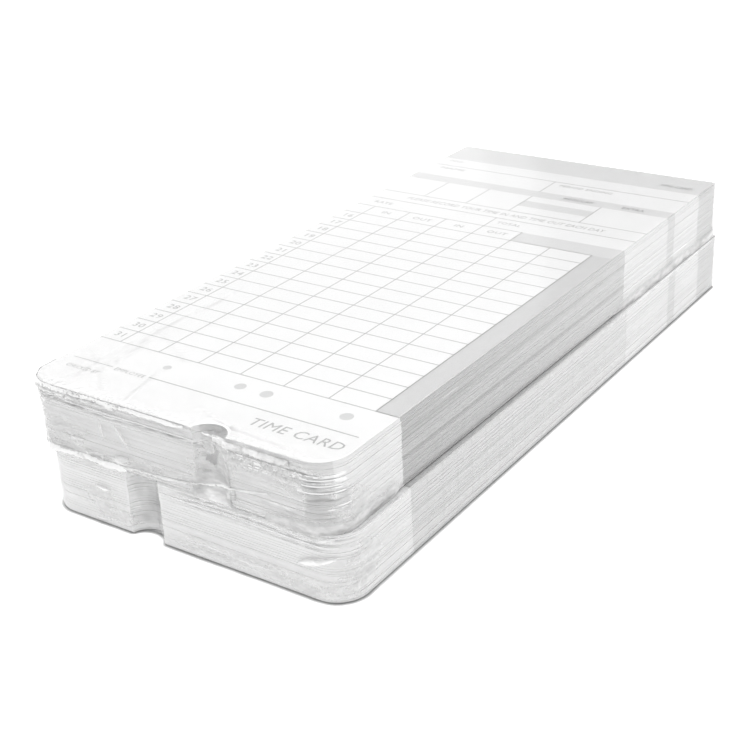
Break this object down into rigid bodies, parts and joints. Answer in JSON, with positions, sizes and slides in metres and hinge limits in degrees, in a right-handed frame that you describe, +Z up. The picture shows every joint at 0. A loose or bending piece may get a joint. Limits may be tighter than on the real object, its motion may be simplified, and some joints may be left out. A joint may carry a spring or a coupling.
{
  "type": "shrink-wrapped time clock card packs",
  "caption": "Stack of clear shrink-wrapped packs of notched paper time clock cards, the lower pack turned face down.",
  "frame": {"origin": "centre of the base of the stack, on the surface that it lies on", "axes": "+Z up through the stack, +Y along the cards towards the heading end, away from the notches, and +X to the right of the upper pack's printed face as it is read"},
  "size_m": [0.0847, 0.1886, 0.0321],
  "materials": {
    "card_stock": "smooth uncoated white card, printed in light grey",
    "light_print": "light grey printed bands and margins, as flat as the card",
    "dark_print": "grey printed rules, numbers and labels, as flat as the card",
    "wrap_film": "clear glossy shrink film, gathered at the notched end"
  },
  "bodies": {
    "lower_pack": {"lower_film_wrap": "wrap_film", "lower_face_card_01": "card_stock", "lower_cards_02_03": "card_stock", "lower_cards_04_05": "card_stock", "lower_cards_06_07": "card_stock", "lower_cards_08_09": "card_stock", "lower_cards_10_11": "card_stock", "lower_cards_12_13": "card_stock", "lower_cards_14_15": "card_stock", "lower_cards_16_17": "card_stock", "lower_cards_18_19": "card_stock", "lower_cards_20_21": "card_stock", "lower_cards_22_23": "card_stock", "lower_cards_24_25": "card_stock", "lower_cards_26_27": "card_stock", "lower_cards_28_29": "card_stock", "lower_cards_30_31": "card_stock", "lower_cards_32_33": "card_stock", "lower_cards_34_35": "card_stock", "lower_cards_36_37": "card_stock", "lower_cards_38_39": "card_stock", "lower_cards_40_41": "card_stock", "lower_cards_42_43": "card_stock", "lower_cards_44_45": "card_stock", "lower_cards_46_47": "card_stock", "lower_cards_48_49": "card_stock", "lower_back_card_50": "card_stock"},
    "upper_pack": {"upper_film_wrap": "wrap_film", "upper_face_card_01": "card_stock", "upper_cards_02_03": "card_stock", "upper_cards_04_05": "card_stock", "upper_cards_06_07": "card_stock", "upper_cards_08_09": "card_stock", "upper_cards_10_11": "card_stock", "upper_cards_12_13": "card_stock", "upper_cards_14_15": "card_stock", "upper_cards_16_17": "card_stock", "upper_cards_18_19": "card_stock", "upper_cards_20_21": "card_stock", "upper_cards_22_23": "card_stock", "upper_cards_24_25": "card_stock", "upper_cards_26_27": "card_stock", "upper_cards_28_29": "card_stock", "upper_cards_30_31": "card_stock", "upper_cards_32_33": "card_stock", "upper_cards_34_35": "card_stock", "upper_cards_36_37": "card_stock", "upper_cards_38_39": "card_stock", "upper_cards_40_41": "card_stock", "upper_cards_42_43": "card_stock", "upper_cards_44_45": "card_stock", "upper_cards_46_47": "card_stock", "upper_cards_48_49": "card_stock", "upper_back_card_50": "card_stock"}
  },
  "joints": [
    {"name": "upper_pack_lift", "type": "slide", "parent": "lower_pack", "child": "upper_pack", "axis": [0, 0, 1], "range_m": [0, 0.05]}
  ]
}
